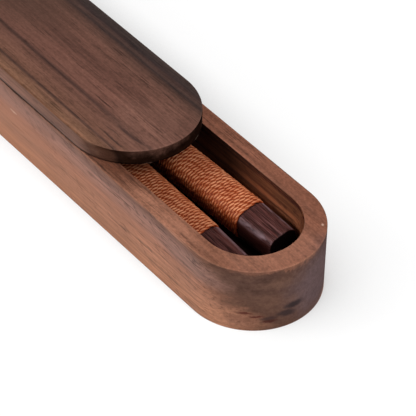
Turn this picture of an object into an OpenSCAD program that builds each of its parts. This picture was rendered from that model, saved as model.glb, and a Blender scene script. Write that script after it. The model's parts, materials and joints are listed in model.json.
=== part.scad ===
// Round-ended wooden chopstick case with a sliding lid and a pair of thread-bound chopsticks.
// The case is sized from the chopsticks that lie in it. X runs along the case towards the
// butt ends of the chopsticks, Z is up, and the origin is the centre of the case's underside.

/* [Chopsticks] */
// Length of a chopstick
stick_len = 225; // [180:1:270]
// Width across the flats at the butt end
butt_w = 8.2; // [6:0.1:9]
// Width across the flats beside the thread
shoulder_w = 8.7; // [7:0.1:10]
// Width at the tip
tip_w = 4.6; // [3:0.1:6]
// Radius of the long edges of the handle
edge_r = 2.7; // [0.8:0.1:2.9]
// Rounding of the butt end
butt_ease = 0.6; // [0.2:0.1:0.8]
// Rounding of the tip
tip_ease = 0.8; // [0.4:0.1:1.2]
// Half width of the flats that are left on the tip
tip_flat = 0.1; // [0.05:0.05:0.3]
// Bare wood between the butt end and the thread
butt_len = 11.6; // [6:0.2:20]

/* [Thread] */
// Diameter of the thread
thread_d = 0.88; // [0.6:0.02:1.2]
// Gap between one turn and the next
thread_gap = 0.46; // [0.42:0.02:0.8]
// Turns of thread on each chopstick
thread_turns = 24; // [12:1:24]
// How far the thread stands proud of the wood
thread_proud = 0.3; // [0.1:0.05:0.5]
// Corner radius of the wound thread
wrap_r = 3; // [1.8:0.1:3.4]
// Clearance between the thread and the neck under it
thread_seat = 0.05; // [0.03:0.01:0.1]

/* [Room in the case] */
// Gap between the two windings
stick_gap = 3.2; // [1:0.1:6]
// Gap between the two tips
tip_gap = 1.2; // [0.6:0.1:6]
// Gap between a winding and the side wall
side_play = 0.88; // [0.6:0.02:4]
// Travel of a butt end before its corner meets the round end
butt_play = 0.75; // [0.6:0.05:6]
// Travel of a tip before its edge meets the round end
tip_play = 4.15; // [1:0.05:6]
// How much further forward the left chopstick lies
stagger = 0.2; // [0:0.1:0.4]
// Roll of the loose chopsticks as they lie, in degrees
stick_roll = 10; // [0:1:15]
// Clearance between the chopsticks and the floor
floor_clear = 0.15; // [0.1:0.05:0.4]
// Clearance between the windings and the level of the runner
head_clear = 1.83; // [1:0.01:5]

/* [Case] */
// Thickness of the long side walls
side_wall = 4.7; // [4:0.1:8]
// Thickness of the end walls at the nose
end_wall = 5.7; // [5:0.1:12]
// Thickness of the floor
floor_t = 3.3; // [2.5:0.1:8]
// Radius of the cove between the floor and the walls
cove_r = 1; // [0.5:0.1:1.4]
// Rounding of the outer edges
outer_ease = 0.25; // [0.2:0.05:1.2]
// Chamfer on the inner edge of the rim
rim_ease = 0.2; // [0.1:0.05:0.6]

/* [Lid] */
// Thickness of the lid
lid_t = 4.3; // [3:0.1:6]
// Rounding of the lid's top edge
lid_top_ease = 0.25; // [0.2:0.05:1.2]
// Rounding of the lid's lower edge
lid_under_ease = 0.25; // [0.2:0.05:0.6]
// How far the lid is slid back from closed
lid_back = 46; // [0:0.5:60]

/* [Runner] */
// Length of the runner under the lid
runner_len = 60; // [40:1:75]
// Depth of the runner below the lid
runner_t = 3.4; // [2.8:0.1:5]
// Distance from the lid's nose back to the runner
runner_setback = 75; // [65:1:90]
// Height of the straight lip above the dovetail
lip_h = 0.8; // [0.5:0.1:1.4]
// How far the dovetail widens on each side
dovetail = 1.6; // [1:0.1:2.4]
// Height of the square edge at the foot of the dovetail
land_h = 0.4; // [0.2:0.1:0.8]
// Running clearance round the runner
runner_clear = 0.25; // [0.15:0.05:0.5]
// Solid wood left between the runner's way and the far round end
way_margin = 2.75; // [1:0.25:20]

/* [Hidden] */
$fn = 96;
CORNER_STEPS = 6;    // facets round each long edge of a chopstick
EASE_STEPS = 3;      // facets of the rounding of a butt end
TURN_CORNER = 2;     // chords round each corner of a turn of thread
TUBE_SIDES = 6;      // sides of the thread
OVERCUT = 1;         // how far a cut runs past the face that it opens

// thread and neck
wrap_w = shoulder_w + 2 * thread_proud;
thread_pitch = thread_d + thread_gap;
wrap_len = thread_turns * thread_pitch + thread_d + 2 * thread_seat;
path_half = (wrap_w - thread_d) / 2;
path_r = wrap_r - thread_d / 2;
path_flat = path_half - path_r;
neck_half = path_half - thread_d / 2 - thread_seat;
chord_turn = 90 / TURN_CORNER;
neck_r = path_r / cos(chord_turn / 2);    // rounder than the turns, whose chords cut their corners

// Half the height, and half the width, of a rounded square that is rolled
function reach(w, r) = (w / 2 - r) * (cos(stick_roll) + sin(stick_roll)) + r;
wrap_reach = reach(wrap_w, wrap_r);
butt_reach = reach(butt_w, edge_r);
tip_reach = reach(tip_w, tip_w / 2 - tip_flat);

// lie of the chopsticks: they rest on the end of the winding and on the tip
stick_drop = wrap_reach - tip_reach;
stick_tilt = asin(stick_drop / (stick_len - butt_len - wrap_len));
wrap_mid = butt_len + wrap_len / 2;
wrap_y = wrap_reach + stick_gap / 2;
tip_y = tip_reach + tip_gap / 2;
stick_yaw = asin((wrap_y - tip_y) / (stick_len - wrap_mid));
butt_y = wrap_y + wrap_mid * sin(stick_yaw);
butt_z = floor_t + floor_clear + wrap_reach + (butt_len + wrap_len) * sin(stick_tilt);

// case, sized from the chopsticks
cavity_w = 4 * wrap_reach + stick_gap + 2 * side_play;
cavity_r = cavity_w / 2;
butt_corner = butt_y + butt_reach;
tip_corner = tip_y + tip_reach;
butt_loss = cavity_r - sqrt(cavity_r * cavity_r - butt_corner * butt_corner);
tip_loss = cavity_r - sqrt(cavity_r * cavity_r - tip_corner * tip_corner);
cavity_len = butt_loss + butt_play + stick_len + tip_play + tip_loss;
case_len = cavity_len + 2 * end_wall;
case_w = cavity_w + 2 * side_wall;
case_h = floor_t + floor_clear + 2 * wrap_reach + head_clear + runner_t;
case_straight = case_len - case_w;
cavity_straight = cavity_len - cavity_w;
butt_x = cavity_len / 2 - butt_loss - butt_play;

// way of the runner, along X
runner_closed = case_len / 2 - runner_setback;
way_front = runner_closed + runner_clear;
way_back = -case_straight / 2 + way_margin;
way_half = cavity_r + dovetail;
runner_foot = case_h - runner_t;
way_floor = runner_foot - runner_clear;
lid_travel = runner_closed - runner_len - way_back - runner_clear;

WALNUT = [0.42, 0.27, 0.2];
DARK_WALNUT = [0.33, 0.22, 0.17];
ROSEWOOD = [0.2, 0.12, 0.11];
COPPER_THREAD = [0.72, 0.4, 0.22];

// Upright stadium body: a half profile pushed along X and turned round at both ends
module stadium_sweep(straight) {
    for (side = [0, 180])
        rotate(side) translate([straight / 2, 0, 0])
            rotate_extrude(angle = 180, start = -90) children();
    rotate([90, 0, 90]) linear_extrude(straight, center = true) {
        children();
        mirror([1, 0]) children();
    }
}

// Half profile of a board of half width half and height h, with its two outer edges rounded
module board_profile(half, h, low_ease, top_ease) {
    square([half - max(low_ease, top_ease), h]);
    translate([0, low_ease]) square([half, h - low_ease - top_ease]);
    translate([half - low_ease, low_ease]) circle(low_ease);
    translate([half - top_ease, h - top_ease]) circle(top_ease);
    square([half - low_ease, low_ease]);
    translate([0, h - top_ease]) square([half - top_ease, top_ease]);
}

// Half profile of the milled cavity, with a cove at the floor and a chamfer at the rim
module cavity_profile() {
    translate([0, floor_t]) square([cavity_r - cove_r, 2 * cove_r]);
    translate([cavity_r - cove_r, floor_t + cove_r]) circle(cove_r);
    polygon([[0, floor_t + cove_r], [cavity_r, floor_t + cove_r], [cavity_r, case_h - rim_ease],
             [cavity_r + rim_ease + OVERCUT, case_h + OVERCUT], [0, case_h + OVERCUT]]);
}

// Bar of dovetail section between two places on X: clear is taken off its sides
module dovetail_bar(from, to, clear, top, foot) {
    neck = cavity_r - clear;
    base = way_half - clear;
    lip = case_h - lip_h;
    land = runner_foot + land_h;
    translate([from, 0, 0]) rotate([90, 0, 90]) linear_extrude(to - from)
        polygon([[-base, foot], [base, foot], [base, land], [neck, lip],
                 [neck, top], [-neck, top], [-neck, lip], [-base, land]]);
}

module case_body() {
    color(WALNUT) difference() {
        stadium_sweep(case_straight) board_profile(case_w / 2, case_h, outer_ease, outer_ease);
        stadium_sweep(cavity_straight) cavity_profile();
        dovetail_bar(way_back, way_front, 0, case_h - rim_ease, way_floor);
        // open end of the way, where the runner drops in
        translate([way_back, -way_half, way_floor])
            cube([runner_len + 2 * runner_clear, 2 * way_half, runner_t + runner_clear + OVERCUT]);
    }
}

module lid() {
    color(DARK_WALNUT) translate([-lid_back, 0, case_h])
        stadium_sweep(case_straight) board_profile(case_w / 2, lid_t, lid_under_ease, lid_top_ease);
}

module lid_runner() {
    front = runner_closed - lid_back;
    color(WALNUT) dovetail_bar(front - runner_len, front, runner_clear, case_h, runner_foot);
}

// Points of a rounded square across the chopstick at a distance u from its butt end
function rounded_square(u, half, r) = [
    for (corner = [0 : 3], i = [0 : CORNER_STEPS])
        let (a = corner * 90 + i * 90 / CORNER_STEPS, c = half - r, m = corner * 90 + 45)
            [-u, c * sqrt(2) * cos(m) + r * cos(a), c * sqrt(2) * sin(m) + r * sin(a)]
];

// Closed skin through a row of rings that have the same number of points
module skin(rings) {
    n = len(rings[0]);
    last = len(rings) - 1;
    sides = [for (i = [0 : last - 1], j = [0 : n - 1])
        let (a = i * n + j, b = i * n + (j + 1) % n, c = a + n, d = b + n)
            each [[a, b, c], [b, d, c]]];
    ends = [for (j = [1 : n - 2])
        each [[0, j + 1, j], [last * n, last * n + j, last * n + j + 1]]];
    polyhedron(points = [for (ring = rings) each ring], faces = concat(sides, ends));
}

// Where a chopstick lies: side is 1 for the right one and -1 for the left one
module stick_place(side) {
    ahead = side < 0 ? stagger : 0;
    translate([butt_x + ahead, side * butt_y, butt_z])
        rotate([stick_roll, -stick_tilt, side * stick_yaw]) children();
}

module chopstick(side) {
    wrap_end = butt_len + wrap_len;
    tip_half = tip_w / 2;
    tip_r = tip_half - tip_flat;
    color(ROSEWOOD) stick_place(side) skin([
        for (i = [0 : EASE_STEPS])
            let (a = i * 90 / EASE_STEPS, cut = butt_ease * (1 - sin(a)))
                rounded_square(butt_ease * (1 - cos(a)), butt_w / 2 - cut, edge_r - cut),
        rounded_square(butt_len, shoulder_w / 2, edge_r),
        rounded_square(butt_len, neck_half, neck_r),
        rounded_square(wrap_end, neck_half, neck_r),
        rounded_square(wrap_end, shoulder_w / 2, edge_r),
        rounded_square(stick_len - tip_ease, tip_half, tip_r),
        rounded_square(stick_len, tip_half - tip_ease, tip_r - tip_ease),
    ]);
}

// Centre line of the thread: [distance from the butt, y, z, direction of the outside]
turn_len = 8 * path_flat + 2 * PI * path_r;
thread_start = butt_len + thread_seat + thread_d / 2;
function thread_corner(turn, corner, i) =
    let (a = i * chord_turn,
         run = (2 * corner + 1) * path_flat + (corner * 90 + a) / 180 * PI * path_r,
         m = corner * 90 + 45,
         out = max(chord_turn / 4, min(90 - chord_turn / 4, a)))
    [thread_start + (turn + run / turn_len) * thread_pitch,
     path_flat * sqrt(2) * cos(m) + path_r * cos(corner * 90 + a),
     path_flat * sqrt(2) * sin(m) + path_r * sin(corner * 90 + a),
     corner * 90 + out];
thread_line = concat(
    [[thread_start, path_half, 0, 0]],
    [for (turn = [0 : thread_turns - 1], corner = [0 : 3], i = [0 : TURN_CORNER])
        thread_corner(turn, corner, i)],
    [[thread_start + thread_turns * thread_pitch, path_half, 0, 0]]);
function thread_ring(p) = [
    for (s = [0 : TUBE_SIDES - 1])
        let (a = s * 360 / TUBE_SIDES, r = thread_d / 2)
            [-p[0] + r * sin(a),
             p[1] + r * cos(a) * cos(p[3]),
             p[2] + r * cos(a) * sin(p[3])]
];
thread_rings = [for (p = thread_line) thread_ring(p)];

// Least gap between one turn and the next, measured between the points of their rings
turn_points = 4 * (TURN_CORNER + 1);
thread_self_gap = min([
    for (i = [1 : len(thread_rings) - 1 - turn_points], step = [-1 : 1])
        let (k = min(i + turn_points + step, len(thread_rings) - 1))
            for (p = thread_rings[i], q = thread_rings[k]) norm(p - q)
]);
echo(least_gap_of_thread_to_itself = thread_self_gap);

module thread(side) {
    color(COPPER_THREAD) stick_place(side) skin(thread_rings);
}

module chopstick_left() { chopstick(-1); }
module chopstick_right() { chopstick(1); }
module thread_left() { thread(-1); }
module thread_right() { thread(1); }

echo(case = [case_len, case_w, case_h], lid_travel = lid_travel);

case_body();
lid();
lid_runner();
chopstick_left();
chopstick_right();
thread_left();
thread_right();
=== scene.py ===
import json
import math

import bmesh
import bpy
from mathutils import Matrix, Vector, noise


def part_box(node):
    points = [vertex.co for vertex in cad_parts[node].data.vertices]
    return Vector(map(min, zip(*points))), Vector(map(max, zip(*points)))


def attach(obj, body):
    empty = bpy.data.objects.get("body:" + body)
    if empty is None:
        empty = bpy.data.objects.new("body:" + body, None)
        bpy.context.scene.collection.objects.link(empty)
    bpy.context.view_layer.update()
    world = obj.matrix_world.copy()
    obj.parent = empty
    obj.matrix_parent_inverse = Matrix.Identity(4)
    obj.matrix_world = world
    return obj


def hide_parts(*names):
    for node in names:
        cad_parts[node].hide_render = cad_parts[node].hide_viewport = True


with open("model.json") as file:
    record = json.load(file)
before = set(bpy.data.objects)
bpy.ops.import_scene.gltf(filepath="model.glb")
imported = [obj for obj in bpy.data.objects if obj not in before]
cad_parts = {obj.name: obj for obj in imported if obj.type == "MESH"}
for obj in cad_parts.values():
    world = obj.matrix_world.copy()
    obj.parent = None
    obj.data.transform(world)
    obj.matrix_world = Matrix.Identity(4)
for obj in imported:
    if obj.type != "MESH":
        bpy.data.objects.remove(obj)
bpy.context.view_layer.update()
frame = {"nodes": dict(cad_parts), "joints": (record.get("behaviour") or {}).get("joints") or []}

scene = bpy.context.scene
mm = 0.001
weld = 0.002 * mm
smoothAngle = 40        # degrees, edges sharper than this stay sharp
jointRange = {joint["name"]: joint["range_m"] for joint in frame["joints"]}
print("frame loaded:", ", ".join(sorted(frame["nodes"])))

# camera, at the angle and framing of the photograph
cameraSpec = {
    "azimuth": 51.16,       # degrees round Z, from beside the left wall towards the nose
    "elevation": 41.6,
    "roll": 1.25,
    "distance": 0.556,
    "aim": (0.108, 0, 0),   # centre of the round nose, on the floor
    "sideStep": -0.0101,    # the camera's own shift to its right and up
    "rise": 0.0169,
    "focalPixels": 2376,
    "imagePixels": 416,
    "sensor": 36.0,
    "clip": (0.01, 50),
}


def makeCamera(spec):
    azimuth, elevation, roll = (math.radians(spec[key]) for key in ("azimuth", "elevation", "roll"))
    back = Vector((math.sin(azimuth) * math.cos(elevation),
                   -math.cos(azimuth) * math.cos(elevation), math.sin(elevation)))
    level = Vector((math.cos(azimuth), math.sin(azimuth), 0))
    upright = back.cross(level)
    right = level * math.cos(roll) + upright * math.sin(roll)
    up = upright * math.cos(roll) - level * math.sin(roll)
    place = Vector(spec["aim"]) + back * spec["distance"] + right * spec["sideStep"] + up * spec["rise"]
    data = bpy.data.cameras.new("photo_camera")
    data.sensor_width = spec["sensor"]
    data.lens = spec["focalPixels"] / spec["imagePixels"] * spec["sensor"]
    data.clip_start, data.clip_end = spec["clip"]
    camera = bpy.data.objects.new("photo_camera", data)
    scene.collection.objects.link(camera)
    camera.matrix_world = Matrix.Translation(place) @ Matrix((right, up, back)).transposed().to_4x4()
    scene.camera = camera


makeCamera(cameraSpec)
print("camera set")


# node helpers
def tone(red, green, blue):
    # a screen colour, 0 to 255, as the linear colour that a shader takes
    def linear(level):
        level /= 255
        return level / 12.92 if level <= 0.04045 else ((level + 0.055) / 1.055) ** 2.4
    return (linear(red), linear(green), linear(blue), 1)


def newNode(tree, kind, inputs=None, **settings):
    node = tree.nodes.new("ShaderNode" + kind)
    for key, value in settings.items():
        setattr(node, key, value)
    for key, value in (inputs or {}).items():
        if isinstance(value, bpy.types.NodeSocket):
            tree.links.new(value, node.inputs[key])
        else:
            node.inputs[key].default_value = value
    return node


def newMaterial(name):
    material = bpy.data.materials.new(name)
    material.use_nodes = True
    material.node_tree.nodes.clear()
    return material, material.node_tree


def mathOf(tree, operation, first, second=0.0):
    return newNode(tree, "Math", {0: first, 1: second}, operation=operation).outputs[0]


def times(tree, first, second):
    return mathOf(tree, "MULTIPLY", first, second)


def plus(tree, first, second):
    return mathOf(tree, "ADD", first, second)


def vectorOf(tree, operation, first, second):
    return newNode(tree, "VectorMath", {0: first, 1: second}, operation=operation).outputs[0]


def mixTone(tree, factor, first, second):
    return newNode(tree, "Mix", {0: factor, 6: first, 7: second}, data_type="RGBA").outputs[2]


def remap(tree, value, low, high, toLow, toHigh, smooth=False):
    style = "SMOOTHSTEP" if smooth else "LINEAR"
    sockets = {0: value, 1: low, 2: high, 3: toLow, 4: toHigh}
    return newNode(tree, "MapRange", sockets, interpolation_type=style).outputs[0]


def ramp(tree, value, stops):
    # each stop is (place, screen colour)
    node = newNode(tree, "ValToRGB", {0: value})
    elements = node.color_ramp.elements
    while len(elements) < len(stops):
        elements.new(0.5)
    for element, (place, shade) in zip(elements, stops):
        element.position = place
        element.color = tone(*shade)
    return node.outputs[0]


def valued(tree, value, colour):
    return newNode(tree, "HueSaturation", {"Value": value, "Color": colour}).outputs[0]


noiseSpan = (0.3, 0.7)      # where most values of a noise lie
swayDetail = 2.0
markNoise = (4.0, 0.65)     # detail and roughness of the outline of a mark
markCore = 0.35             # share of a mark's reach that has its full tone


def noiseOf(tree, vector, seed, detail, rough=0.5):
    inputs = {"Vector": vector, "W": seed, "Scale": 1.0, "Detail": detail, "Roughness": rough}
    return newNode(tree, "TexNoise", inputs, noise_dimensions="4D")


def driftOf(tree, vector, seed, detail, rough=0.5):
    # a random direction, as likely one way as the other
    drift = noiseOf(tree, vector, seed, detail, rough).outputs[1]
    return vectorOf(tree, "SUBTRACT", drift, (0.5, 0.5, 0.5))


def streaks(tree, space, grain, seed):
    # noise along the grain: repeats per metre along and across, detail, roughness, step from the seed
    along, across, detail, rough, step = grain
    stretched = vectorOf(tree, "MULTIPLY", space, (along, across, across))
    return noiseOf(tree, stretched, seed + step, detail, rough).outputs[0]


def grainSpace(tree, repeats, sway, seed):
    # object space, swayed sideways a little so that no streak runs dead straight
    along, across = repeats
    place = newNode(tree, "TexCoord").outputs["Object"]
    wide = vectorOf(tree, "MULTIPLY", place, (along, across, across))
    drift = driftOf(tree, wide, seed, swayDetail)
    return place, vectorOf(tree, "ADD", place, vectorOf(tree, "MULTIPLY", drift, (0, sway, sway)))


def addMarks(tree, colour, space, marks, outline, seed):
    # soft patches at chosen places, each with a ragged outline: repeats per metre, reach in mm, seed step
    repeats, ragged, step = outline
    drift = driftOf(tree, vectorOf(tree, "MULTIPLY", space, repeats), seed + step, *markNoise)
    drift = vectorOf(tree, "MULTIPLY", drift, [reach * mm for reach in ragged])
    torn = vectorOf(tree, "ADD", space, drift)
    for centre, reach, shade, amount in marks:
        offset = vectorOf(tree, "SUBTRACT", torn, [c * mm for c in centre])
        offset = vectorOf(tree, "DIVIDE", offset, [r * mm for r in reach])
        away = newNode(tree, "VectorMath", {0: offset}, operation="LENGTH").outputs["Value"]
        mask = remap(tree, away, markCore, 1.0, amount, 0, smooth=True)
        colour = mixTone(tree, mask, colour, tone(*shade))
    return colour


def finishLook(tree, colour, rough, gloss, relief):
    # relief is (strength, depth, height)
    strength, depth, height = relief
    bump = newNode(tree, "Bump", {"Strength": strength, "Distance": depth, "Height": height})
    shader = newNode(tree, "BsdfPrincipled", {"Base Color": colour, "Roughness": rough,
                                              "Specular IOR Level": gloss, "Normal": bump.outputs[0]})
    newNode(tree, "OutputMaterial", {"Surface": shader.outputs[0]})


# walnut for the case, the lid and the runner: what all three share
walnutGrain = {
    "sway": (9, 45),                        # repeats per metre along and across
    "drift": (14, 190, 4, 0.6, 1.3), "driftEdge": (0.46, 0.7),
    "figure": (16, 560, 4, 0.65, 2.7),
    "fibre": (60, 1500, 3, 0.7, 4.1), "fibreSpan": (0.25, 0.75),
    "pore": (130, 2600, 1, 0.5, 5.9), "poreEdge": (0.58, 0.68),
    "poreZone": (20, 300, 2, 0.5, 7.7), "poreZoneEdge": (0.4, 0.62),
    "fleck": (420, 1600, 2, 0.6, 6.5), "fleckEdge": (0.51, 0.64),
    "fleckZone": (40, 200, 3, 0.6, 8.3), "fleckZoneEdge": (0.4, 0.6),
    "zoneLeast": 0.25,                      # pores and flecks left between their zones
    "upper": (0.6, 1.3),                    # figure and flecks low on a wall, and high on it
    "mottle": (1300, 1900, 2, 0.6, 10.3),
    "inner": (12, 620, 4, 0.65, 13.0),
    "blotchRepeats": (70, 70, 260), "blotchStep": 9.1, "blotchNoise": (4.0, 0.55),
    "markOutline": ((60, 420, 420), (9, 5, 5), 11.0),
    "chipOutline": ((240, 700, 900), (1.6, 1.6, 1.3), 15.0),
    "levelEdge": (0.2, 0.6), "topEdge": (0.3, 0.8), "floorShadeEdge": (0.4, 0.9), "floorShadeAmount": 0.9,
    "endEdge": (0.38, 0.66), "wearEdge": (0.4, 0.65), "hollowLidShadowLeast": 0.15,
    "cutFull": 0.9, "cutPore": 0.2, "cutHair": 0.5, "cutRelief": 0.4, "cutRough": 0.3,
    "poreRough": 0.15, "fibreRelief": 0.5, "reliefDepth": 0.12 * mm,
}


def makeWalnut(look, grain):
    material, tree = newMaterial(look["name"])
    seed = look["seed"]
    place, space = grainSpace(tree, grain["sway"], look["sway"], seed)

    def zoned(field, zone, fieldSpace):
        # fine marks of the wood, which come in zones
        marks = streaks(tree, fieldSpace, grain[field], seed)
        zones = streaks(tree, space, grain[zone], seed)
        return times(tree, remap(tree, marks, *grain[field + "Edge"], 0, 1, smooth=True),
                     remap(tree, zones, *grain[zone + "Edge"], grain["zoneLeast"], 1, smooth=True))

    # bands across the wood, and a broad drift towards a second tint
    weighed = vectorOf(tree, "MULTIPLY", space, look["bandAxis"])
    bandPlace = newNode(tree, "VectorMath", {0: weighed, 1: (1, 1, 1)}, operation="DOT_PRODUCT")
    colour = ramp(tree, remap(tree, bandPlace.outputs["Value"], *look["bandSpan"], 0, 1), look["bands"])
    drift = streaks(tree, space, grain["drift"], seed)
    drift = remap(tree, drift, *grain["driftEdge"], 0, look["tintAmount"], smooth=True)
    colour = mixTone(tree, drift, colour, tone(*look["tint"]))

    # fields of figure, fibre, pores and flecks
    figure = streaks(tree, space, grain["figure"], seed)
    fibre = streaks(tree, space, grain["fibre"], seed)
    pore = zoned("pore", "poreZone", space)
    tilted = newNode(tree, "VectorRotate", {"Vector": space, "Angle": look["fleckTilt"]},
                     rotation_type="Y_AXIS")
    fleck = zoned("fleck", "fleckZone", tilted.outputs[0])
    spot = newNode(tree, "SeparateXYZ", {0: place})
    reach, height = spot.outputs[0], spot.outputs[2]
    upper = remap(tree, height, *look["fleckSpan"], *grain["upper"], smooth=True)

    # wood cut across the grain drinks more oil, so the round ends are darker
    facing = newNode(tree, "SeparateXYZ", {0: newNode(tree, "TexCoord").outputs["Normal"]})
    endward, upward = mathOf(tree, "ABSOLUTE", facing.outputs[0]), facing.outputs[2]
    blotchPlace = vectorOf(tree, "MULTIPLY", place, grain["blotchRepeats"])
    blotch = noiseOf(tree, blotchPlace, seed + grain["blotchStep"], *grain["blotchNoise"]).outputs[0]
    cut = plus(tree, endward, remap(tree, height, *look["leanSpan"], -look["lean"], look["lean"]))
    cut = plus(tree, cut, remap(tree, blotch, *noiseSpan, -look["blotch"], look["blotch"]))
    cut = remap(tree, cut, *look["endSpan"], 0, look["endAmount"], smooth=True)
    cut = times(tree, cut, remap(tree, mathOf(tree, "ABSOLUTE", upward), *grain["levelEdge"], 1, 0))
    endTone = mixTone(tree, remap(tree, blotch, *grain["endEdge"], 0, 1),
                      tone(*look["endTone"]), tone(*look["endLight"]))
    colour = mixTone(tree, cut, colour, endTone)
    colour = addMarks(tree, colour, space, look["marks"], grain["markOutline"], seed)

    def onCut(along, across):
        return remap(tree, cut, 0, grain["cutFull"], along, across)

    # fewer pores on cut wood and on the quiet stretch of the top, fewer flecks on level wood
    top = remap(tree, upward, *grain["topEdge"], 0, 1)
    quiet = times(tree, top, remap(tree, reach, *look["quietSpan"], 0, 1, smooth=True))
    quietShare = remap(tree, quiet, 0, 1, 1, look["topHair"])
    pore = times(tree, times(tree, pore, onCut(1, grain["cutPore"])), quietShare)
    bare = mathOf(tree, "MAXIMUM", times(tree, top, look["fleckBare"]), cut)
    fleck = times(tree, fleck, times(tree, upper, mathOf(tree, "SUBTRACT", 1.0, bare)))

    # painted shade: the milled hollow is darker than the outside, streaked along its walls, darkest on its
    # floor, and darker still towards the lid, a painted shadow of the lid
    hollow = newNode(tree, "Attribute", attribute_name="hollow").outputs["Fac"]
    inner = streaks(tree, space, grain["inner"], seed)
    depth = plus(tree, remap(tree, height, *look["hollowSpan"], 0, 1),
                 remap(tree, inner, *noiseSpan, -look["hollowStreak"], look["hollowStreak"]))
    floorShadeMask = remap(tree, upward, *grain["floorShadeEdge"], 0, grain["floorShadeAmount"])
    hollowShadeTone = mixTone(tree, floorShadeMask, ramp(tree, depth, look["hollow"]), tone(*look["hollowFloorShade"]))
    hollowLidShadow = remap(tree, reach, *look["hollowLidShadowReach"], grain["hollowLidShadowLeast"], 1, smooth=True)
    colour = mixTone(tree, hollow, colour, valued(tree, hollowLidShadow, hollowShadeTone))

    # figure, fibre, pores and flecks, calmer towards the tail end
    calm = remap(tree, reach, *look["calmSpan"], look["calm"], 1, smooth=True)
    vein = times(tree, remap(tree, figure, *noiseSpan, *look["figure"]), times(tree, upper, calm))
    hair = times(tree, remap(tree, fibre, *noiseSpan, *look["fibre"]), calm)
    hair = times(tree, times(tree, hair, quietShare), onCut(1, grain["cutHair"]))
    mottle = streaks(tree, place, grain["mottle"], seed)
    mottle = remap(tree, mottle, *noiseSpan, -look["mottle"], look["mottle"])
    hair = plus(tree, hair, times(tree, mottle, top))
    bright = times(tree, plus(tree, vein, 1.0), plus(tree, hair, 1.0))
    for mask, dark in ((pore, look["poreDark"]), (fleck, look["fleckDark"])):
        bright = times(tree, bright, remap(tree, times(tree, mask, calm), 0, 1, 1, dark))
    colour = valued(tree, bright, colour)

    # edges rubbed paler by handling, and small chips, among them painted shade and painted highlights
    worn = newNode(tree, "Attribute", attribute_name="wear").outputs["Fac"]
    worn = times(tree, worn, remap(tree, blotch, *grain["wearEdge"], 0, look["wearAmount"]))
    colour = mixTone(tree, worn, colour, tone(*look["wearTone"]))
    colour = addMarks(tree, colour, space, look["chipsAndPaintedLight"], grain["chipOutline"], seed)

    rough = remap(tree, fibre, *grain["fibreSpan"], *look["rough"])
    rough = plus(tree, rough, times(tree, pore, grain["poreRough"]))
    rough = plus(tree, rough, times(tree, cut, grain["cutRough"]))
    relief = mathOf(tree, "SUBTRACT", times(tree, fibre, grain["fibreRelief"]), pore)
    relief = times(tree, relief, onCut(1, grain["cutRelief"]))
    finishLook(tree, colour, rough, onCut(look["gloss"], 0), (look["bump"], grain["reliefDepth"], relief))
    return material


behindTail = (-300 * mm, -200 * mm)     # a span behind every piece, for what holds all along it
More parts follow.
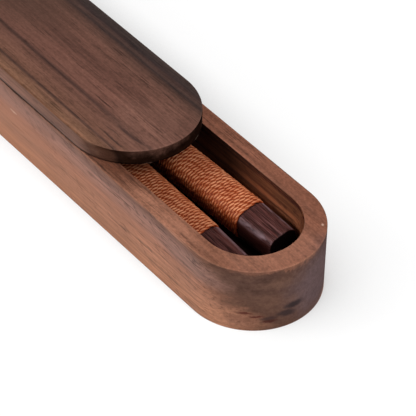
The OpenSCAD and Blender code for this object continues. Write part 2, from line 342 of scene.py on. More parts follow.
# marks and chips, among them painted shade, painted shadow, painted reflection and painted highlights, are
# (centre in mm, reach in mm, tone, amount)
caseWood = makeWalnut({
    "name": "case_walnut", "seed": 3.0, "sway": 3.0 * mm,
    "bandAxis": (0.012, 0.1, 1.0), "bandSpan": (-1.5 * mm, 20.5 * mm),
    "bands": [(0.0, (172, 118, 88)), (0.3, (175, 121, 94)), (0.5, (164, 112, 89)), (0.62, (156, 112, 96)),
              (0.74, (148, 108, 94)), (0.8, (136, 97, 82)), (0.86, (130, 86, 67)), (0.93, (138, 90, 70)),
              (1.0, (134, 85, 66))],
    "tint": (112, 80, 68), "tintAmount": 0.5,
    # the first mark, grey-purple on the right of the nose, is a painted reflection
    "marks": [((124, 8, 9), (9, 15, 13), (96, 79, 81), 0.8),
              ((119, -12, 3), (6, 6, 3.5), (134, 92, 74), 0.7),
              ((80, -17, 16.5), (34, 3, 1.4), (128, 92, 80), 0.35),
              ((106, -16, 12.5), (20, 4, 3.5), (130, 98, 88), 0.55),
              ((118, -2, 18.5), (12, 15, 2), (158, 107, 86), 0.7),
              # painted shadow of the lid on the left rim, over darker grain
              ((72, -13.5, 18.5), (16, 5, 1.6), (98, 57, 40), 0.7),
              ((95, -16, 18.5), (19, 5, 1.3), (176, 121, 97), 0.75)],
    "chipsAndPaintedLight": [((118.5, 11.6, 18.5), (0.6, 0.5, 0.6), (206, 168, 148), 0.9),
              # painted shade along the seam under the lid, on the case's left top edge
              ((30, -17, 18.4), (50, 0.8, 0.6), (66, 42, 34), 0.85),
              ((35.5, -17, 11.4), (1.9, 1, 0.4), (200, 162, 140), 0.75),
              ((124.6, -1.6, 6.2), (5, 3.4, 1.4), (44, 38, 40), 0.85),
              ((124.4, -3.6, 4.2), (5, 3.4, 1.4), (46, 38, 40), 0.8),
              ((123, -7.4, 3.4), (3, 2.6, 0.9), (56, 42, 42), 0.7),
              ((119.8, -12.2, 5.4), (2.4, 2.4, 0.6), (84, 44, 36), 0.9),
              ((121.5, -10, 4.2), (2.4, 2.4, 0.6), (80, 40, 34), 0.9),
              ((123.2, -7.4, 2.6), (2.4, 2.6, 0.6), (68, 36, 32), 0.9),
              # dark lines on the left rim by the lid: grain lines with the lid's painted shadow
              ((71.5, -16.9, 18.5), (8, 0.5, 0.6), (60, 38, 31), 0.85),
              ((72.5, -15.1, 18.5), (2.3, 0.32, 0.6), (82, 54, 45), 0.7),
              ((76, -15.7, 18.5), (2.6, 0.3, 0.6), (82, 54, 45), 0.7),
              ((79.5, -16.3, 18.5), (2.4, 0.3, 0.6), (88, 58, 48), 0.6),
              ((74, -13.2, 18.5), (5, 0.7, 0.8), (60, 34, 25), 0.8),
              ((80, -13.8, 18.5), (6, 0.7, 0.8), (66, 39, 29), 0.8),
              ((85, -13.2, 18.5), (5, 0.6, 0.8), (76, 47, 36), 0.75),
              ((102, -16, 18.5), (2.6, 0.4, 0.6), (96, 62, 50), 0.6),
              ((105.5, -16.5, 18.5), (2.4, 0.4, 0.6), (96, 62, 50), 0.6)],
    "figure": (-0.17, 0.15), "fibre": (-0.34, 0.32), "poreDark": 0.48, "fleckDark": 0.5,
    "calmSpan": (30 * mm, 92 * mm), "calm": 0.3,
    "topHair": 0.45, "quietSpan": (84 * mm, 106 * mm), "mottle": 0.24,
    "fleckSpan": (10 * mm, 15 * mm), "fleckTilt": -0.4, "fleckBare": 0.85,
    "leanSpan": (0, 18 * mm), "lean": 0.2, "blotch": 0.23,
    "endSpan": (0.15, 0.8), "endAmount": 0.95, "endTone": (72, 52, 46), "endLight": (98, 72, 61),
    # the hollow's tones are painted shade: darker than the outside, near black on its floor, darker towards
    # the lid
    "hollowSpan": (3.3 * mm, 18.5 * mm), "hollowLidShadowReach": (82 * mm, 103 * mm), "hollowStreak": 0.28,
    "hollowFloorShade": (20, 9, 6),
    "hollow": [(0.0, (58, 27, 18)), (0.42, (164, 94, 62)), (0.6, (164, 100, 68)), (0.73, (104, 58, 40)),
               (0.86, (142, 88, 60)), (1.0, (76, 35, 26))],
    "wearTone": (168, 118, 92), "wearAmount": 0.25,
    "rough": (0.5, 0.64), "gloss": 0.15, "bump": 0.5,
}, walnutGrain)
lidWood = makeWalnut({
    "name": "lid_walnut", "seed": 11.0, "sway": 2.0 * mm,
    "bandAxis": (0.0, 1.0, 0.3), "bandSpan": (-11.2 * mm, 24.8 * mm),
    "bands": [(0.0, (136, 97, 82)), (0.022, (134, 94, 77)), (0.032, (112, 74, 52)), (0.045, (134, 95, 74)),
              (0.08, (131, 93, 73)), (0.115, (124, 87, 70)), (0.135, (76, 54, 47)),
              (0.155, (118, 81, 66)), (0.295, (113, 77, 65)), (0.318, (76, 53, 47)), (0.342, (117, 79, 67)),
              (0.55, (109, 73, 62)), (0.7, (114, 78, 66)), (0.79, (98, 69, 59)), (0.83, (60, 46, 43)),
              (0.855, (80, 59, 53)), (0.885, (56, 44, 43)), (0.92, (66, 54, 51)), (1.0, (84, 68, 63))],
    "tint": (84, 58, 50), "tintAmount": 0.55,
    "marks": [((70, -2, 23), (14, 12, 4), (136, 96, 82), 0.55),
              ((-4, 4, 23), (42, 15, 6), (86, 61, 51), 0.75)],
    # the first chip here is a painted highlight on the lid's lower front edge
    "chipsAndPaintedLight": [((77.3, -7.2, 18.6), (1.2, 2.0, 0.4), (156, 128, 114), 0.8),
              ((71, -16, 20.4), (11, 3.6, 3.6), (66, 37, 26), 0.7),
              # these two are painted highlights on the lid's lower front edge
              ((73.3, -12.6, 18.6), (0.9, 0.9, 0.4), (140, 112, 98), 0.7),
              ((77.2, 7.5, 18.6), (1.3, 2.2, 0.4), (124, 112, 100), 0.7),
              ((69, -11.3, 22.8), (6, 0.45, 0.9), (62, 45, 40), 0.75),
              ((70.5, -7.3, 22.8), (7, 0.5, 0.9), (64, 46, 43), 0.75),
              ((67, -9.6, 22.8), (5, 0.35, 0.9), (70, 50, 44), 0.6)],
    "figure": (-0.26, 0.22), "fibre": (-0.41, 0.27), "poreDark": 0.42, "fleckDark": 0.8,
    "calmSpan": (-10 * mm, 70 * mm), "calm": 0.4,
    "topHair": 0.85, "quietSpan": behindTail, "mottle": 0.14,
    "fleckSpan": (0, 10 * mm), "fleckTilt": 0.0, "fleckBare": 0.0,
    "leanSpan": (18.5 * mm, 22.8 * mm), "lean": 0.1, "blotch": 0.2,
    "endSpan": (0.06, 0.82), "endAmount": 0.96, "endTone": (10, 3, 1), "endLight": (25, 11, 5),
    # the lid's hollow tones are painted shade, for the seam under its edge
    "hollowSpan": (18.5 * mm, 22.8 * mm), "hollowLidShadowReach": behindTail, "hollowStreak": 0.2,
    "hollowFloorShade": (36, 22, 16),
    "hollow": [(0.0, (20, 9, 5)), (1.0, (34, 18, 12))],
    "wearTone": (132, 94, 76), "wearAmount": 0.3,
    "rough": (0.5, 0.64), "gloss": 0.14, "bump": 0.5,
}, walnutGrain)
runnerWood = makeWalnut({
    "name": "runner_walnut", "seed": 23.0, "sway": 1.5 * mm,
    "bandAxis": (0.0, 1.0, 0.3), "bandSpan": (-14 * mm, 14 * mm),
    "bands": [(0.0, (112, 74, 58)), (0.3, (96, 62, 50)), (0.5, (120, 80, 64)), (0.8, (102, 66, 54)),
              (1.0, (112, 74, 58))],
    "tint": (84, 58, 48), "tintAmount": 0.5, "marks": [], "chipsAndPaintedLight": [],
    "figure": (-0.2, 0.17), "fibre": (-0.3, 0.28), "poreDark": 0.5, "fleckDark": 0.72,
    "calmSpan": behindTail, "calm": 1.0,
    "topHair": 1.0, "quietSpan": behindTail, "mottle": 0.0,
    "fleckSpan": (0, 10 * mm), "fleckTilt": 0.0, "fleckBare": 0.0,
    "leanSpan": (15 * mm, 18.5 * mm), "lean": 0.1, "blotch": 0.2,
    "endSpan": (0.5, 1.0), "endAmount": 0.8, "endTone": (62, 39, 30), "endLight": (80, 52, 40),
    "hollowSpan": (15 * mm, 18.5 * mm), "hollowLidShadowReach": behindTail, "hollowStreak": 0.2,
    "hollowFloorShade": (70, 44, 34),
    "hollow": [(0.0, (70, 44, 34)), (1.0, (100, 66, 52))],
    "wearTone": (140, 100, 82), "wearAmount": 0.5,
    "rough": (0.52, 0.64), "gloss": 0.25, "bump": 0.5,
}, walnutGrain)


# rosewood for the chopsticks
rosewoodLook = {
    "seed": 31.0, "sway": 0.5 * mm, "swayRepeats": (12, 90),
    "figure": (26, 1100, 4, 0.68, 1.0), "figureSpan": (0.34, 0.66),
    "fibre": (120, 2600, 3, 0.6, 2.0), "fibreBright": (0.62, 1.38),
    "pore": (200, 3600, 1, 0.5, 3.0), "poreEdge": (0.58, 0.68), "poreDark": 0.36,
    "bands": [(0.0, (22, 8, 7)), (0.25, (64, 28, 23)), (0.45, (96, 57, 53)), (0.6, (40, 16, 14)),
              (0.75, (82, 47, 44)), (1.0, (116, 78, 76))],
    # cut ends near black: end grain with painted shade
    "endTone": (6, 3, 3), "endEdge": (0.5, 0.9), "endAmount": 0.97,
    # painted shade on the flanks that face left
    "flankShadeTone": (48, 9, 3), "flankShadeEdge": (-0.72, -0.95), "flankShadeAmount": 0.6,
    # wearTone is the pale of wear, and of the painted highlight on the butt's edges
    "wearTone": (158, 130, 136), "wear": (0.1, 0.75),
    "rubAndGlint": (350, 900, 2, 0.5, 4.0), "rubAndGlintEdge": (0.36, 0.62),
    "wearAndGlintStop": 0.6, "glossStop": 0.9,      # how far into the cut end the wear with its painted highlight, and the gloss, reach
    "rough": (0.36, 0.54), "roughSpan": (0.25, 0.75), "gloss": 0.14,
    "bump": 0.45, "reliefDepth": 0.08 * mm, "fibreRelief": 0.5,
}


def makeRosewood(look):
    material, tree = newMaterial("stick_rosewood")
    seed = look["seed"]
    place, space = grainSpace(tree, look["swayRepeats"], look["sway"], seed)
    figure = remap(tree, streaks(tree, space, look["figure"], seed), *look["figureSpan"], 0, 1)
    colour = ramp(tree, figure, look["bands"])
    fibre = streaks(tree, space, look["fibre"], seed)
    pore = remap(tree, streaks(tree, space, look["pore"], seed), *look["poreEdge"], 0, 1, smooth=True)
    bright = times(tree, remap(tree, fibre, *noiseSpan, *look["fibreBright"]),
                   remap(tree, pore, 0, 1, 1, look["poreDark"]))
    colour = valued(tree, bright, colour)

    # cut ends darkened almost to black, end grain with painted shade, and painted shade on the flanks that
    # face left
    facing = newNode(tree, "SeparateXYZ", {0: newNode(tree, "TexCoord").outputs["Normal"]})
    cut = mathOf(tree, "ABSOLUTE", facing.outputs[0])
    cut = remap(tree, cut, *look["endEdge"], 0, look["endAmount"], smooth=True)
    colour = mixTone(tree, cut, colour, tone(*look["endTone"]))
    flankShade = remap(tree, facing.outputs[1], *look["flankShadeEdge"], 0, look["flankShadeAmount"])
    colour = mixTone(tree, flankShade, colour, tone(*look["flankShadeTone"]))

    # edges paler in patches: wear at the shoulders and tip, and a painted highlight along the butt's edges
    worn = newNode(tree, "Attribute", attribute_name="wear").outputs["Fac"]
    rubbedAndLit = streaks(tree, place, look["rubAndGlint"], seed)
    worn = times(tree, worn, remap(tree, rubbedAndLit, *look["rubAndGlintEdge"], *look["wear"]))
    worn = times(tree, worn, remap(tree, cut, 0, look["wearAndGlintStop"], 1, 0))
    colour = mixTone(tree, worn, colour, tone(*look["wearTone"]))
    rough = remap(tree, fibre, *look["roughSpan"], *look["rough"])
    gloss = remap(tree, cut, 0, look["glossStop"], look["gloss"], 0)
    relief = mathOf(tree, "SUBTRACT", times(tree, fibre, look["fibreRelief"]), pore)
    finishLook(tree, colour, rough, gloss, (look["bump"], look["reliefDepth"], relief))
    return material


# copper-coloured twisted thread, with painted light on its crests and painted shade in its grooves
threadLook = {
    "seed": 47.0,
    "crestShades": [(0.0, (96, 27, 7)), (0.3, (122, 43, 15)), (0.55, (146, 64, 31)), (0.8, (178, 98, 61)),
               (1.0, (212, 142, 102))],
    "hairRepeats": (900, 5, 3), "hairNoise": (3.0, 0.6), "hairAmount": 0.35,
    "patch": (420, 420, 3, 0.6, 0.0), "patchAmount": 0.25,
    # leftShade is painted shade on the left winding
    "hands": (2, 5), "leftShade": 0.89,     # plies are numbered up to 2 on the left, from 5 on the right
    # threadLidShadow is a painted shadow of the lid on the windings
    "threadLidShadowSpan": (77 * mm, 92 * mm), "threadLidShadow": (0.7, 1.06),
    "rough": (0.36, 0.52), "gloss": 0.14, "bump": 0.4, "reliefDepth": 0.05 * mm,
}


def makeThread(look):
    material, tree = newMaterial("copper_thread")
    place = newNode(tree, "TexCoord").outputs["Object"]
    # along the thread, round the ply, number of the ply
    lane = newNode(tree, "Attribute", attribute_name="strand").outputs["Vector"]
    crestShade = newNode(tree, "Attribute", attribute_name="crestShade").outputs["Fac"]
    detail, rough = look["hairNoise"]
    hair = newNode(tree, "TexNoise", {"Vector": vectorOf(tree, "MULTIPLY", lane, look["hairRepeats"]),
                                      "Scale": 1.0, "Detail": detail, "Roughness": rough}).outputs[0]
    patch = streaks(tree, place, look["patch"], look["seed"])
    lit = crestShade
    for field, amount in ((hair, look["hairAmount"]), (patch, look["patchAmount"])):
        lit = plus(tree, lit, remap(tree, field, *noiseSpan, -amount / 2, amount / 2))
    colour = ramp(tree, lit, look["crestShades"])
    number = newNode(tree, "SeparateXYZ", {0: lane}).outputs[2]
    reach = newNode(tree, "SeparateXYZ", {0: place}).outputs[0]
    # painted shade: the left winding darker
    value = times(tree, remap(tree, number, *look["hands"], look["leftShade"], 1),
                  remap(tree, reach, *look["threadLidShadowSpan"], *look["threadLidShadow"]))     # painted shadow of the lid, darker further from the butt
    colour = valued(tree, value, colour)
    shine = remap(tree, hair, *noiseSpan, *look["rough"])
    finishLook(tree, colour, shine, look["gloss"], (look["bump"], look["reliefDepth"], hair))
    return material


rosewood = makeRosewood(rosewoodLook)
copperThread = makeThread(threadLook)
print("finishes made")


# mesh helpers
def newShell():
    bm = bmesh.new()
    bm.verts.layers.float.new("wear")
    bm.verts.layers.float.new("hollow")
    return bm


def addRing(bm, points, hollow=(0, 0)):
    # each point is (position, wear), and some in a row may lie in the hollow
    wearLayer, hollowLayer = bm.verts.layers.float["wear"], bm.verts.layers.float["hollow"]
    ring = []
    for position, wear in points:
        vert = bm.verts.new(position)
        vert[wearLayer] = wear
        vert[hollowLayer] = 1.0 if hollow[0] <= len(ring) < hollow[1] else 0.0
        ring.append(vert)
    return ring


def bridge(bm, first, second, closed=False):
    count = len(first)
    for i in range(count if closed else count - 1):
        j = (i + 1) % count
        bm.faces.new((first[i], first[j], second[j], second[i]))


def finishPiece(bm, name, material):
    bmesh.ops.remove_doubles(bm, verts=bm.verts[:], dist=weld)
    bmesh.ops.dissolve_degenerate(bm, dist=weld, edges=bm.edges[:])
    bmesh.ops.recalc_face_normals(bm, faces=bm.faces[:])
    mesh = bpy.data.meshes.new(name)
    bm.to_mesh(mesh)
    bm.free()
    mesh.shade_smooth()
    mesh.set_sharp_from_angle(angle=math.radians(smoothAngle))
    mesh.materials.append(material)
    piece = bpy.data.objects.new(name, mesh)
    scene.collection.objects.link(piece)
    return piece


def easeArc(centreR, centreZ, radius, fromAngle, toAngle, steps, wear=1.0):
    points = []
    for i in range(steps + 1):
        angle = math.radians(fromAngle + (toAngle - fromAngle) * i / steps)
        points.append((centreR + radius * math.cos(angle), centreZ + radius * math.sin(angle), wear))
    return points


def stadiumStops(straightStops, arcSteps):
    # once round a stadium: (x stop, angle of the outward direction)
    stops = [(stop, 90.0) for stop in straightStops]
    stops += [(straightStops[-1], 90.0 - 180.0 * i / arcSteps) for i in range(1, arcSteps)]
    stops += [(stop, -90.0) for stop in reversed(straightStops)]
    stops += [(straightStops[0], -90.0 - 180.0 * i / arcSteps) for i in range(1, arcSteps)]
    return stops


# case: a milled block with round ends, and the dovetail way of the lid's runner in its walls
caseSpec = {
    "cavityHalf": 12.3 * mm, "endWall": 5.7 * mm, "floor": 3.3 * mm, "cove": 1.0 * mm,
    "edgeEase": 0.25 * mm, "rimEase": 0.2 * mm, "support": 0.15 * mm,
    "lip": 0.8 * mm, "land": 0.4 * mm, "runnerClear": 0.25 * mm,
    "arcSteps": 72, "coveSteps": 5, "rimSteps": 3, "edgeSteps": 5,
    "rimPoints": 3,         # the last points of the inner outline belong to the rim
}


def makeCase(spec):
    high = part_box("case_body")[1]
    runnerLow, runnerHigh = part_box("lid_runner")
    half, height = high.y, high.z
    outerEnd = high.x - half
    innerEnd = high.x - spec["endWall"] - spec["cavityHalf"]
    clear = spec["runnerClear"]
    closing, opening = jointRange["lid_slide"]
    wayFront = runnerHigh.x - closing + clear
    wayBack = runnerLow.x - opening - clear
    dropEnd = wayBack + (runnerHigh.x - runnerLow.x) + 2 * clear
    cavity, wayHalf = spec["cavityHalf"], runnerHigh.y + clear
    wayFloor = runnerLow.z - clear
    landTop, lipFoot = runnerLow.z + spec["land"], height - spec["lip"]
    cove, rimEase, ease, support = spec["cove"], spec["rimEase"], spec["edgeEase"], spec["support"]

    def innerProfile(zone):
        foot = wayHalf if zone != "plain" else cavity
        neck = wayHalf if zone == "open" else cavity
        points = [(0, spec["floor"], 0), (cavity - cove - support, spec["floor"], 0)]
        points += easeArc(cavity - cove, spec["floor"] + cove, cove, -90, 0, spec["coveSteps"], 0)
        points += [(cavity, wayFloor, 0), (foot, wayFloor, 0), (foot, landTop, 0), (neck, lipFoot, 0),
                   (neck, height - rimEase - support, 0)]
        points += easeArc(neck + rimEase, height - rimEase, rimEase, 180, 90, spec["rimSteps"])
        points.append((neck + rimEase + support, height, 0))
        return points

    outerProfile = [(half - ease - support, height, 0)]
    outerProfile += easeArc(half - ease, height - ease, ease, 90, 0, spec["edgeSteps"])
    outerProfile += [(half, height - ease - support, 0), (half, ease + support, 0)]
    outerProfile += easeArc(half - ease, ease, ease, 0, -90, spec["edgeSteps"])
    outerProfile += [(half - ease - support, 0, 0), (0, 0, 0)]

    # stretches along the case: the way is open where the runner drops in, and dovetailed from there on
    straight = [("end", -1, "plain"), (wayBack, 0, "plain"), (wayBack, 0, "open"), (dropEnd, 0, "open"),
                (dropEnd, 0, "dovetail"), (wayFront, 0, "dovetail"), (wayFront, 0, "plain"),
                ("end", 1, "plain")]
    bm = newShell()
    rings = []
    for (place, end, zone), angle in stadiumStops(straight, spec["arcSteps"]):
        out = Vector((math.cos(math.radians(angle)), math.sin(math.radians(angle)), 0))
        innerX, outerX = (end * innerEnd, end * outerEnd) if place == "end" else (place, place)
        inner = innerProfile(zone)
        points = [(Vector((innerX, 0, z)) + out * r, wear) for r, z, wear in inner]
        points += [(Vector((outerX, 0, z)) + out * r, wear) for r, z, wear in outerProfile]
        rings.append(addRing(bm, points, (0, len(inner) - spec["rimPoints"])))
    for i, ring in enumerate(rings):
        bridge(bm, ring, rings[(i + 1) % len(rings)])
    piece = finishPiece(bm, "walnut_case", caseWood)
    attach(piece, "case")
    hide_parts("case_body")


# lid: a flat board with nearly the outline of the case
lidSpec = {
    "topEase": 0.25 * mm, "underEase": 0.5 * mm, "support": 0.15 * mm,
    "underGap": 0.03 * mm,      # a hair above the rim it slides on
    "rightTrim": 0.7 * mm,      # its right edge lies a little inside the case's
    "topWear": 0.3, "arcSteps": 72, "topSteps": 5, "underSteps": 4,
}


def makeLid(spec):
    low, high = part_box("lid")
    half = high.y
    ends = (low.x + half, high.x - half)
    top, under, support = spec["topEase"], spec["underEase"], spec["support"]
    foot = low.z + spec["underGap"]
    profile = [(0, high.z, 0), (half - top - support, high.z, 0)]
    profile += easeArc(half - top, high.z - top, top, 90, 0, spec["topSteps"], spec["topWear"])
    profile += [(half, high.z - top - support, 0), (half, foot + under + support, 0)]
    seamShadeFrom = len(profile)     # from here on the edge has painted shade, for the seam over the rim
    profile += easeArc(half - under, foot + under, under, 0, -90, spec["underSteps"], 0)
    profile += [(half - under - support, foot, 0), (0, foot, 0)]
    trimmed = 1 - spec["rightTrim"] / half
    bm = newShell()
    rings = []
    for x, angle in stadiumStops(ends, spec["arcSteps"]):
        out = Vector((math.cos(math.radians(angle)), math.sin(math.radians(angle)), 0))
        out.y *= trimmed if out.y > 0 else 1
        points = [(Vector((x, 0, z)) + out * r, wear) for r, z, wear in profile]
        rings.append(addRing(bm, points, (seamShadeFrom, len(profile) - 1)))
    for i, ring in enumerate(rings):
        bridge(bm, ring, rings[(i + 1) % len(rings)])
    piece = finishPiece(bm, "walnut_lid", lidWood)
    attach(piece, "lid")
    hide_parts("lid")


makeCase(caseSpec)
makeLid(lidSpec)
for slotItem in frame["nodes"]["lid_runner"].material_slots:
    slotItem.material = runnerWood
print("case and lid made")


# chopsticks: square handles with rounded edges, a neck for the thread, round tips
stickSpec = {
    "roll": 10.0,           # degrees, as the loose chopsticks lie
    "buttHalf": 4.1 * mm, "shoulderHalf": 4.35 * mm, "neckHalf": 3.72 * mm, "tipHalf": 2.3 * mm,
    "edge": 2.7 * mm, "neckEdge": 2.77 * mm, "tipFlat": 0.1 * mm,
    "buttEase": 0.6 * mm, "shoulderEase": 0.15 * mm, "tipEase": 0.8 * mm,
    "buttLength": 11.6 * mm, "wrapLength": 33.14 * mm, "endReach": 2.0 * mm,
    "cornerSteps": 10, "taperSteps": 30, "easeSteps": 4,
    # edgeGlint and glintBand paint a highlight along the butt's rounded edges
    "edgeGlint": 1.0, "glintBand": 0.45, "endWear": 0.05, "wrapWear": 1.0, "tipWear": 0.5,
}


def stickAxes(spec, node):
    # butt centre, length and own axes of a chopstick: the rings at the two ends of its solid share its axis
    points = [Vector(p) for p in {vert.co.to_tuple(6) for vert in frame["nodes"][node].data.vertices}]
    front, rear = max(p.x for p in points), min(p.x for p in points)
    buttRings = [p for p in points if p.x > front - spec["endReach"]]
    tipRings = [p for p in points if p.x < rear + spec["endReach"]]
    middle = sum(buttRings, Vector()) / len(buttRings)
    along = (sum(tipRings, Vector()) / len(tipRings) - middle).normalized()
    spans = [(p - middle).dot(along) for p in points]
    side = Vector((0, 0, 1)).cross(along).normalized()
    up = along.cross(side)
    roll = math.radians(spec["roll"])
    return {"butt": middle + along * min(spans), "length": max(spans) - min(spans), "along": along,
            "side": side * math.cos(roll) - up * math.sin(roll),
            "up": up * math.cos(roll) + side * math.sin(roll)}


def atStick(axes, u, across, above):
    return axes["butt"] + axes["along"] * u + axes["side"] * across + axes["up"] * above


def squareRing(half, edge, steps):
    # points of a rounded square, anticlockwise
    points = []
    for corner in range(4):
        middle = math.radians(corner * 90 + 45)
        reach = (half - edge) * math.sqrt(2)
        for i in range(steps + 1):
            angle = math.radians(corner * 90 + 90 * i / steps)
            points.append((reach * math.cos(middle) + edge * math.cos(angle),
                           reach * math.sin(middle) + edge * math.sin(angle)))
    return points


def makeStick(spec, node, body, name):
    axes = stickAxes(spec, node)
    length, steps = axes["length"], spec["easeSteps"]
    wrapEnd = spec["buttLength"] + spec["wrapLength"]
    stations = []       # (u, half width, edge radius, wear)
    for i in range(steps + 1):
        turn = math.radians(90 * i / steps)
        cut = spec["buttEase"] * (1 - math.sin(turn))
        stations.append((spec["buttEase"] * (1 - math.cos(turn)), spec["buttHalf"] - cut,
                         spec["edge"] - cut, spec["endWear"]))
    stations.append((2 * spec["buttEase"], spec["buttHalf"], spec["edge"], 0))
    lip = spec["shoulderEase"]
    stations += [(spec["buttLength"] - 2 * lip, spec["shoulderHalf"], spec["edge"], 0),
                 (spec["buttLength"] - lip, spec["shoulderHalf"], spec["edge"], spec["endWear"]),
                 (spec["buttLength"], spec["shoulderHalf"] - lip, spec["edge"] - lip, spec["endWear"]),
                 (spec["buttLength"], spec["neckHalf"], spec["neckEdge"], 0),
                 (wrapEnd, spec["neckHalf"], spec["neckEdge"], 0),
                 (wrapEnd, spec["shoulderHalf"] - lip, spec["edge"] - lip, spec["wrapWear"]),
                 (wrapEnd + lip, spec["shoulderHalf"], spec["edge"], spec["wrapWear"])]
    taperEnd = length - spec["tipEase"]
    tipEdge = spec["tipHalf"] - spec["tipFlat"]
    for i in range(1, spec["taperSteps"] + 1):
        share = i / spec["taperSteps"]
        stations.append((wrapEnd + lip + (taperEnd - wrapEnd - lip) * share,
                         spec["shoulderHalf"] + (spec["tipHalf"] - spec["shoulderHalf"]) * share,
                         spec["edge"] + (tipEdge - spec["edge"]) * share, 0))
    for i in range(1, steps + 1):
        turn = math.radians(90 * i / steps)
        cut = spec["tipEase"] * (1 - math.cos(turn))
        stations.append((taperEnd + spec["tipEase"] * math.sin(turn), spec["tipHalf"] - cut,
                         tipEdge - cut, spec["tipWear"]))
    bm = newShell()
    rings = []
    for u, half, edge, wear in stations:
        section = squareRing(half, edge, spec["cornerSteps"])
        # painted highlight along the butt's rounded edges
        ridgeGlint = spec["edgeGlint"] if u < spec["buttLength"] else 0.0
        wearAndGlint = [max(wear, ridgeGlint * max(0, 1 - abs(2 * i / spec["cornerSteps"] - 1) / spec["glintBand"]))
                for i in range(spec["cornerSteps"] + 1)] * 4
        rings.append(addRing(bm, [(atStick(axes, u, y, z), rubAndGlint) for (y, z), rubAndGlint in zip(section, wearAndGlint)]))
    for first, second in zip(rings, rings[1:]):
        bridge(bm, first, second, closed=True)
    bm.faces.new(rings[0])
    bm.faces.new(rings[-1])
    piece = finishPiece(bm, name, rosewood)
    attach(piece, body)
    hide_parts(node)
    return axes


# winding: two plies twisted together and wound close, on a bed that shuts the gaps between the turns
threadSpec = {
    "outerHalf": 4.65 * mm, "outerEdge": 3.0 * mm, "pitch": 0.84 * mm, "lay": 3.5 * mm, "plies": 2,
    "plyRadius": 0.29 * mm, "plyOffset": 0.15 * mm, "plySides": 8, "step": 0.28 * mm,
    "tuck": 3.0 * mm, "tuckDepth": 0.5 * mm, "threadSideShade": 0.2,
    "swayLength": 40 * mm, "swayTurns": 0.6,            # the twist runs a little fast and slow
    "crowdLength": 9 * mm, "crowdReach": 0.05 * mm,     # turns lie a little closer here and there
    "crowdStep": 7.0,
    "bedDepth": 0.17 * mm, "bedThick": 0.3 * mm, "bedSteps": 6, "bedShade": 0.4, "bedStretch": 40,
    "smoothAngle": 60,
}


def squarePath(half, edge, travel):
    # point and outward angle at a distance round a rounded square
    flat = half - edge
    bend = edge * math.pi / 2
    quarter = 2 * flat + bend
    side, rest = divmod(travel, quarter)
    if rest < flat:
        across, above, outward = half, rest, 0.0
    elif rest < flat + bend:
        outward = (rest - flat) / edge
        across, above = flat + edge * math.cos(outward), flat + edge * math.sin(outward)
    else:
        across, above, outward = 2 * flat + bend - rest, half, math.pi / 2
    turn = (side % 4) * math.pi / 2
    cosTurn, sinTurn = math.cos(turn), math.sin(turn)
    return across * cosTurn - above * sinTurn, across * sinTurn + above * cosTurn, outward + turn


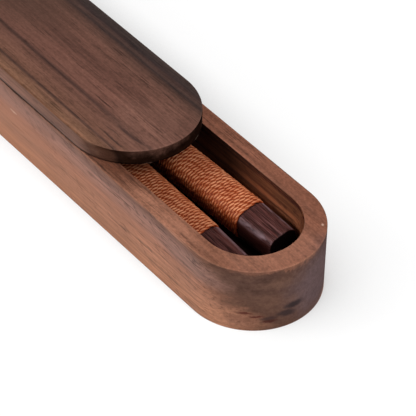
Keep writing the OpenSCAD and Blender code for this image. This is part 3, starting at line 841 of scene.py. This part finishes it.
def makeWinding(spec, axes, node, body, name, seed):
    points, faces, lanes, crestShades = [], [], [], []
    solid = frame["nodes"][node].data
    spans = [(Vector(vert.co) - axes["butt"]).dot(axes["along"]) for vert in solid.vertices]
    plyReach = spec["plyRadius"] + spec["plyOffset"]
    start, end = min(spans) + plyReach, max(spans) - plyReach
    pathHalf, pathEdge = spec["outerHalf"] - plyReach, spec["outerEdge"] - plyReach
    turnLength = 8 * (pathHalf - pathEdge) + 2 * math.pi * pathEdge
    turns = round((end - start) / spec["pitch"])
    pitch = (end - start) / turns
    total = turns * turnLength
    count = int(total / spec["step"])
    sides = spec["plySides"]
    short = 1 - 1e-9        # keeps the last point on the last turn
    for ply in range(spec["plies"]):
        base = len(points)
        for i in range(count + 1):
            travel = total * i / count
            tucked = min(1, min(travel, total - travel) / spec["tuck"])
            sink = spec["tuckDepth"] * (1 - tucked) ** 2
            y, z, outward = squarePath(pathHalf - sink, pathEdge - sink, travel * short)
            sway = noise.noise(Vector((travel / spec["swayLength"], seed, 0.5)))
            crowd = noise.noise(Vector((travel / spec["crowdLength"], seed + spec["crowdStep"], 0.5)))
            u = start + pitch * travel / turnLength + spec["crowdReach"] * crowd
            centre = atStick(axes, u, y, z)
            out = axes["side"] * math.cos(outward) + axes["up"] * math.sin(outward)
            twist = 2 * math.pi * (spec["swayTurns"] * sway - travel / spec["lay"] + ply / spec["plies"])
            middle = centre + (out * math.cos(twist) + axes["along"] * math.sin(twist)) * spec["plyOffset"]
            threadFlankShade = spec["threadSideShade"] * (1 - max(0, out.z))      # painted shade, darker on the flanks than on top
            for side in range(sides):
                angle = twist + 2 * math.pi * side / sides
                away = out * math.cos(angle) + axes["along"] * math.sin(angle)
                points.append(middle + away * spec["plyRadius"])
                lanes.append((travel, side / sides, ply + seed))
                # painted light on the crests and painted shade in the grooves, from how far out each point
                # lies
                crestShades.append(0.5 + 0.5 * (points[-1] - centre).dot(out) / plyReach - threadFlankShade)
        for i in range(count):
            for side in range(sides):
                a, b = base + i * sides + side, base + i * sides + (side + 1) % sides
                faces.append((a, b, b + sides, a + sides))
        faces.append(tuple(base + side for side in reversed(range(sides))))
        faces.append(tuple(base + count * sides + side for side in range(sides)))
    # bed under the turns, with painted shade between them
    base = len(points)
    bedHalf, bedEdge = spec["outerHalf"] - spec["bedDepth"], spec["outerEdge"] - spec["bedDepth"]
    section = squareRing(bedHalf, bedEdge, spec["bedSteps"])
    inner = squareRing(bedHalf - spec["bedThick"], bedEdge - spec["bedThick"], spec["bedSteps"])
    n = len(section)
    bedRings = ((start, inner), (start, section), (end, section), (end, inner))
    for u, ring in bedRings:
        for y, z in ring:
            points.append(atStick(axes, u, y, z))
            lanes.append((u * spec["bedStretch"], 0.5, seed))
            crestShades.append(spec["bedShade"])
    for i in range(len(bedRings)):
        this, following = base + i * n, base + (i + 1) % len(bedRings) * n
        for k in range(n):
            after = (k + 1) % n
            faces.append((this + k, this + after, following + after, following + k))
    mesh = bpy.data.meshes.new(name)
    mesh.from_pydata(points, [], faces)
    mesh.attributes.new("strand", "FLOAT_VECTOR", "POINT").data.foreach_set(
        "vector", [value for lane in lanes for value in lane])
    mesh.attributes.new("crestShade", "FLOAT", "POINT").data.foreach_set("value", crestShades)
    bm = bmesh.new()
    bm.from_mesh(mesh)
    bmesh.ops.recalc_face_normals(bm, faces=bm.faces[:])
    bm.to_mesh(mesh)
    bm.free()
    mesh.shade_smooth()
    mesh.set_sharp_from_angle(angle=math.radians(spec["smoothAngle"]))
    mesh.materials.append(copperThread)
    piece = bpy.data.objects.new(name, mesh)
    scene.collection.objects.link(piece)
    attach(piece, body)
    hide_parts(node)
    return turns


for hand, seed in (("left", 1.0), ("right", 5.0)):
    body = hand + "_chopstick"
    axes = makeStick(stickSpec, "chopstick_" + hand, body, "rosewood_stick_" + hand)
    turns = makeWinding(threadSpec, axes, "thread_" + hand, body, "thread_winding_" + hand, seed)
    print(hand, "chopstick made, with", turns, "turns of thread")

# stage: a white table, a large lamp in front, smaller ones behind and on the left, a weak panel above,
# and a room that is pale near the table and dim overhead
stageSpec = {
    "floorSize": 12.0, "floorCells": 8, "floorTone": (0.88, 0.88, 0.88, 1),
    "floorGlow": 0.76, "shadowTone": (0.3, 0.3, 0.3, 1),
    "contactReach": 22 * mm, "contactSpan": (-20 * mm, 14 * mm), "contact": (0.1, 1.4),
    "contactFall": 1.7,
    "farReach": 26 * mm, "farSide": (0, 17 * mm), "farSpan": (34 * mm, 96 * mm), "far": (2.2, 0.2),
    "lamps": [
        {"name": "front_softbox", "from": (0.62, 0, 0.78),
         "distance": 1.6, "size": (0.53, 1.2), "power": 23.5},
        {"name": "back_softbox", "from": (-0.58, -0.66, 0.47),
         "distance": 1.2, "size": (0.5, 0.5), "power": 3.0},
        {"name": "left_softbox", "from": (-0.2, -0.82, 0.5),
         "distance": 1.0, "size": (0.9, 0.4), "power": 3.0},
        {"name": "top_panel", "from": (-0.55, 0.25, 0.8),
         "distance": 1.3, "size": (0.5, 0.5), "power": 0.7},
    ],
    "roomTone": (1.0, 1.0, 1.0, 1), "roomSpan": (0.02, 0.2), "room": (0.9, 0.05),
}


def makeStage(spec):
    bm = bmesh.new()
    bmesh.ops.create_grid(bm, x_segments=spec["floorCells"], y_segments=spec["floorCells"],
                          size=spec["floorSize"] / 2)
    mesh = bpy.data.meshes.new("table_top")
    bm.to_mesh(mesh)
    bm.free()
    material, tree = newMaterial("white_table")
    seen = newNode(tree, "LightPath")
    white = seen.outputs["Is Camera Ray"]
    for ray in ("Is Glossy Ray", "Is Transmission Ray"):
        white = mathOf(tree, "MAXIMUM", white, seen.outputs[ray])
    plain = newNode(tree, "BsdfDiffuse", {"Color": spec["floorTone"]})
    shaded = newNode(tree, "BsdfDiffuse", {"Color": spec["shadowTone"]})

    def closeness(reach):
        opened = newNode(tree, "AmbientOcclusion", {"Distance": reach}).outputs["AO"]
        return mathOf(tree, "SUBTRACT", 1.0, opened)

    # soft contact shadow, deeper on the right than on the left where two of the lamps stand
    spot = newNode(tree, "SeparateXYZ", {0: newNode(tree, "TexCoord").outputs["Object"]})
    along, across = spot.outputs[0], spot.outputs[1]
    depth = remap(tree, across, *spec["contactSpan"], *spec["contact"])
    dim = times(tree, mathOf(tree, "POWER", closeness(spec["contactReach"]), spec["contactFall"]), depth)
    # wider shade on the right of the lid, fading towards the nose
    far = times(tree, remap(tree, along, *spec["farSpan"], *spec["far"]),
                remap(tree, across, *spec["farSide"], 0, 1))
    dim = plus(tree, dim, times(tree, closeness(spec["farReach"]), far))
    glow = newNode(tree, "Emission", {"Strength": remap(tree, dim, 0, 1, spec["floorGlow"], 0)})
    lifted = newNode(tree, "AddShader", {0: shaded.outputs[0], 1: glow.outputs[0]})
    mixed = newNode(tree, "MixShader", {0: white, 1: plain.outputs[0], 2: lifted.outputs[0]})
    newNode(tree, "OutputMaterial", {"Surface": mixed.outputs[0]})
    mesh.materials.append(material)
    floor = bpy.data.objects.new("table_top", mesh)
    scene.collection.objects.link(floor)

    for item in spec["lamps"]:
        lamp = bpy.data.lights.new(item["name"], "AREA")
        lamp.shape = "RECTANGLE"
        lamp.size, lamp.size_y = item["size"]
        lamp.energy = item["power"]
        holder = bpy.data.objects.new(item["name"], lamp)
        scene.collection.objects.link(holder)
        direction = Vector(item["from"]).normalized()
        holder.location = Vector(cameraSpec["aim"]) + direction * item["distance"]
        holder.rotation_euler = direction.to_track_quat("Z", "Y").to_euler()

    world = bpy.data.worlds.new("pale_room")
    scene.world = world
    world.use_nodes = True
    tree = world.node_tree
    tree.nodes.clear()
    height = newNode(tree, "SeparateXYZ", {0: newNode(tree, "TexCoord").outputs["Generated"]}).outputs[2]
    strength = remap(tree, height, *spec["roomSpan"], *spec["room"], smooth=True)
    room = newNode(tree, "Background", {"Color": spec["roomTone"], "Strength": strength})
    newNode(tree, "OutputWorld", {"Surface": room.outputs[0]})


makeStage(stageSpec)
scene.view_settings.view_transform = "Standard"
print("stage and lights set")
